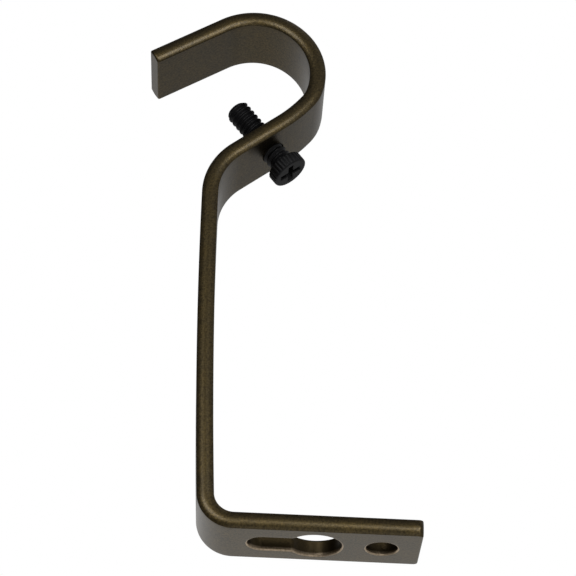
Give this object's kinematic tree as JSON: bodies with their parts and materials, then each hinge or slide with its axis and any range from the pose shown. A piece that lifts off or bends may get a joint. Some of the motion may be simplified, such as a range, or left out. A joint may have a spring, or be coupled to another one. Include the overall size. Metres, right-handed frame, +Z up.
{
  "type": "curtain pole bracket",
  "caption": "Wall bracket for a curtain pole: bent flat steel strip with keyhole plate, arm and open hook, and a clamp screw that holds the pole.",
  "frame": {"origin": "centre of the round fixing hole, on the plane of the wall", "axes": "+X from the wall into the room, +Z up, Y across the strip's width; the wall is the plane X = 0"},
  "size_m": [0.1027, 0.013, 0.0499],
  "materials": {
    "bronze_paint": "dark antique bronze paint with a fine metallic fleck, satin",
    "black_screw": "black, satin"
  },
  "bodies": {
    "bracket": {"bracket_strip": "bronze_paint"},
    "screw": {"clamp_screw": "black_screw"}
  },
  "joints": [
    {"name": "screw_advance", "type": "slide", "parent": "bracket", "child": "screw", "axis": [0.7826, 0, 0.6225], "range_m": [-0.0084, 0.0031]}
  ]
}
